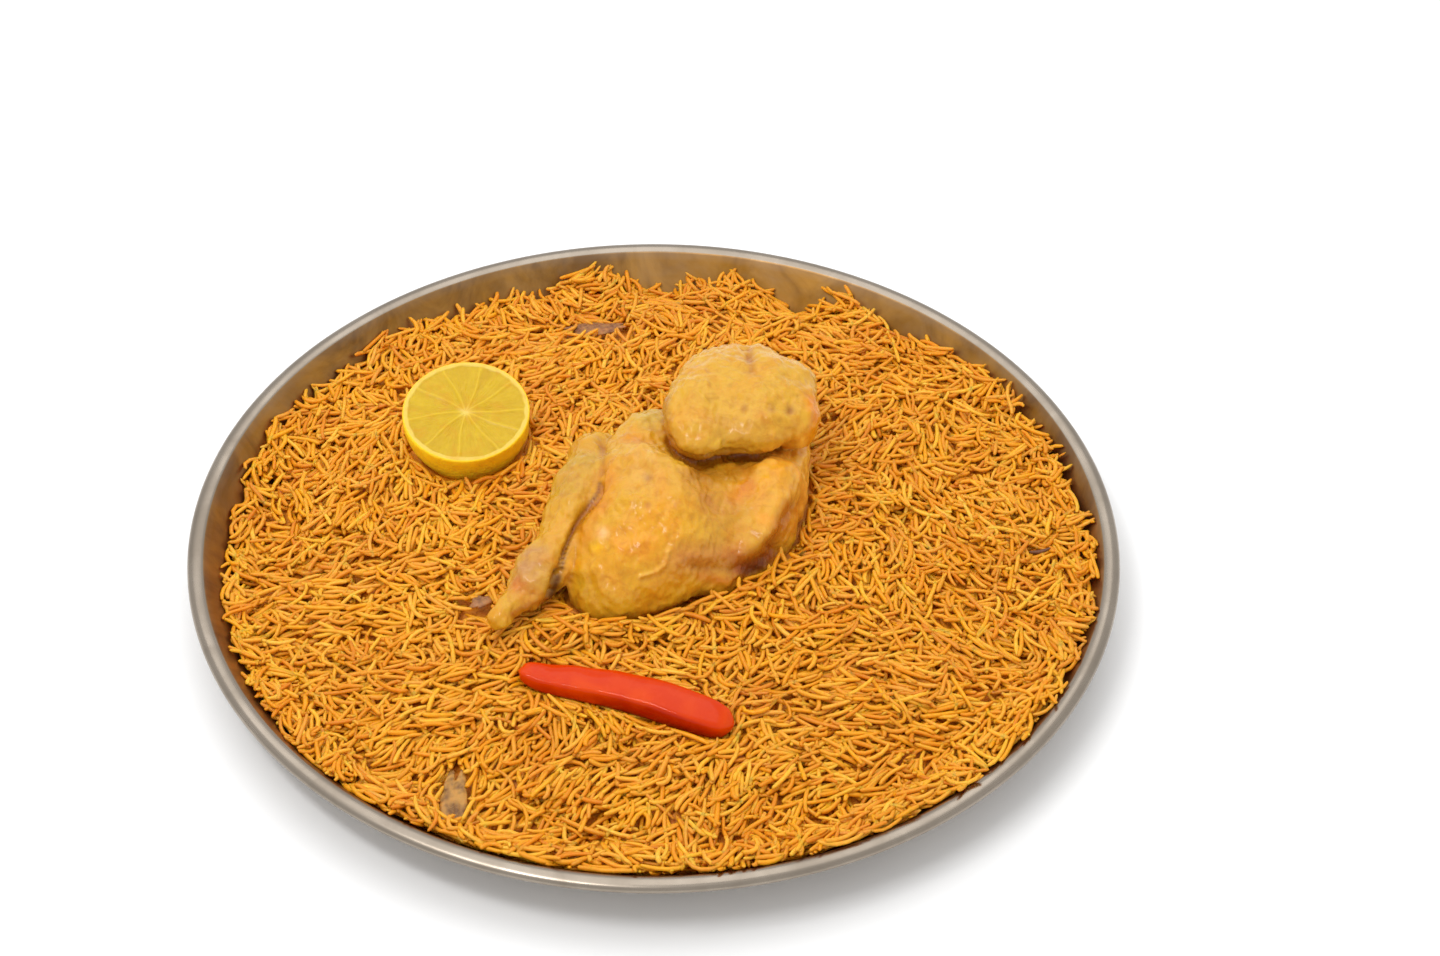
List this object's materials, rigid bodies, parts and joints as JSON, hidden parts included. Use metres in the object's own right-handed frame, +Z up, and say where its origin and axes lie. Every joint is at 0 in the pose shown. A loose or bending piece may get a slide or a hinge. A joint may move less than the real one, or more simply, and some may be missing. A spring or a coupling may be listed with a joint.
{
  "type": "tray of chicken madghout",
  "caption": "Round steel tray of spiced long-grain rice with a skin-on chicken half, a cut lemon, a red pepper strip and cooked onion.",
  "frame": {"origin": "middle of the tray's flat underside, on the surface it stands on", "axes": "+Z up, +X towards the tray's right and +Y towards its back, as it is served"},
  "size_m": [0.3998, 0.3998, 0.0795],
  "materials": {
    "tray_steel": "satin steel with fine turning marks and a warm reflection of the rice",
    "rice": "orange-gold spiced long-grain rice with a thin gloss of fat",
    "chicken_skin": "steamed and lightly browned skin, oily, with follicles and folds",
    "lemon": "wet cut flesh in segments, pale pith and dimpled yellow peel",
    "pepper": "glossy red-orange skin",
    "onion": "translucent browned onion"
  },
  "bodies": {
    "root": {"tray": "tray_steel", "rice": "rice", "half_chicken": "chicken_skin", "lemon_half": "lemon", "pepper_strip": "pepper", "onion_front": "onion", "onion_back": "onion", "onion_side": "onion"}
  },
  "joints": []
}
